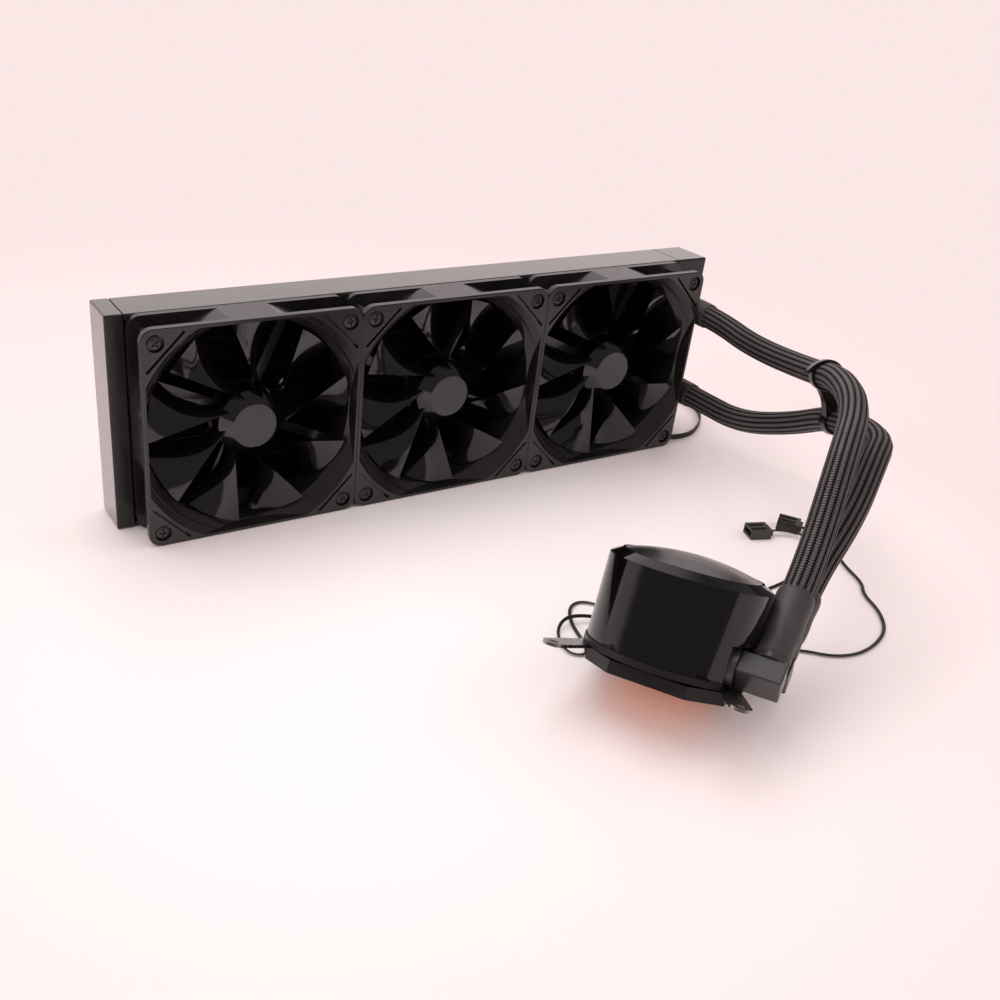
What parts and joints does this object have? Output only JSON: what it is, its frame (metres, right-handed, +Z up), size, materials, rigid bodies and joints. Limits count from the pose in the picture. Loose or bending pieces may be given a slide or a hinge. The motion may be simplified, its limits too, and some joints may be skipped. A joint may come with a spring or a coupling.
{
  "type": "liquid cooler",
  "caption": "Liquid cooler with a long finned radiator, a row of axial fans, braided hoses and a round pump with a copper plate.",
  "frame": {"origin": "middle of the long edge that the radiator stands on, at floor height", "axes": "+X along the radiator towards the hose end, +Y from the fans to the back of the radiator, +Z up"},
  "size_m": [0.4316, 0.3836, 0.12],
  "materials": {
    "base_plastic": "matt black plastic",
    "bearing_bronze": "sintered bronze",
    "board": "green circuit board",
    "bracket_steel": "zinc plated steel",
    "cap_gloss": "glossy black plastic",
    "comb_plastic": "satin black plastic",
    "copper": "milled copper",
    "core_paint": "black painted aluminium",
    "elbow_plastic": "smooth black plastic",
    "fan_plastic": "satin black plastic",
    "gasket_rubber": "black rubber",
    "grommet_rubber": "black rubber",
    "hose_rubber": "black braided sleeve over rubber",
    "inner_plastic": "dark grey moulded plastic",
    "lead_rubber": "black sleeved wires",
    "magnet": "dark ferrite",
    "plug_plastic": "black nylon",
    "port_metal": "black plated brass",
    "radiator_paint": "satin black paint",
    "rotor_plastic": "matt black plastic",
    "screw_steel": "black oxide steel",
    "shaft_steel": "ground steel",
    "shell_gloss": "glossy black plastic",
    "sleeve_rubber": "matt shrunk tube",
    "stator_steel": "steel stack with windings"
  },
  "bodies": {
    "cooler": {"bracket_left": "bracket_steel", "bracket_right": "bracket_steel", "bracket_screws": "screw_steel", "cold_plate": "copper", "cooling_fins": "core_paint", "elbow_front": "elbow_plastic", "elbow_rear": "elbow_plastic", "fan_bearing_left": "bearing_bronze", "fan_bearing_middle": "bearing_bronze", "fan_bearing_right": "bearing_bronze", "fan_frame_left": "fan_plastic", "fan_frame_middle": "fan_plastic", "fan_frame_right": "fan_plastic", "fan_screws": "screw_steel", "fan_stator_left": "stator_steel", "fan_stator_middle": "stator_steel", "fan_stator_right": "stator_steel", "flat_tubes": "core_paint", "header_left": "core_paint", "header_right": "core_paint", "hose_comb": "comb_plastic", "hose_lower": "hose_rubber", "hose_upper": "hose_rubber", "impeller_shaft": "shaft_steel", "lead_fan": "lead_rubber", "lead_fan_coil": "lead_rubber", "lead_grommets": "grommet_rubber", "lead_light": "lead_rubber", "lead_power": "lead_rubber", "plate_gasket": "gasket_rubber", "plate_screws": "screw_steel", "plug_fan": "plug_plastic", "plug_light": "plug_plastic", "plug_power": "plug_plastic", "port_lower": "port_metal", "port_upper": "port_metal", "pump_base": "base_plastic", "pump_board": "board", "pump_cap": "cap_gloss", "pump_housing": "inner_plastic", "pump_shell": "shell_gloss", "pump_stator": "stator_steel", "rail_bottom": "radiator_paint", "rail_top": "radiator_paint", "sleeve_pump_front": "sleeve_rubber", "sleeve_pump_rear": "sleeve_rubber", "sleeve_radiator_lower": "sleeve_rubber", "sleeve_radiator_upper": "sleeve_rubber", "tank_left": "radiator_paint", "tank_right": "radiator_paint"},
    "rotor_left": {"fan_rotor_left": "rotor_plastic", "fan_magnet_left": "magnet", "fan_shaft_left": "shaft_steel"},
    "rotor_middle": {"fan_rotor_middle": "rotor_plastic", "fan_magnet_middle": "magnet", "fan_shaft_middle": "shaft_steel"},
    "rotor_right": {"fan_rotor_right": "rotor_plastic", "fan_magnet_right": "magnet", "fan_shaft_right": "shaft_steel"},
    "impeller_body": {"impeller": "inner_plastic"}
  },
  "joints": [
    {"name": "fan_left_spin", "type": "hinge", "parent": "cooler", "child": "rotor_left", "pos_m": [-0.12, -0.0261, 0.06], "axis": [0, 1, 0], "continuous": true},
    {"name": "fan_middle_spin", "type": "hinge", "parent": "cooler", "child": "rotor_middle", "pos_m": [0, -0.0261, 0.06], "axis": [0, 1, 0], "continuous": true},
    {"name": "fan_right_spin", "type": "hinge", "parent": "cooler", "child": "rotor_right", "pos_m": [0.12, -0.0261, 0.06], "axis": [0, 1, 0], "continuous": true},
    {"name": "impeller_spin", "type": "hinge", "parent": "cooler", "child": "impeller_body", "pos_m": [-0.0114, -0.2484, 0.0233], "axis": [0.3367, 0.2297, 0.9132], "continuous": true}
  ]
}
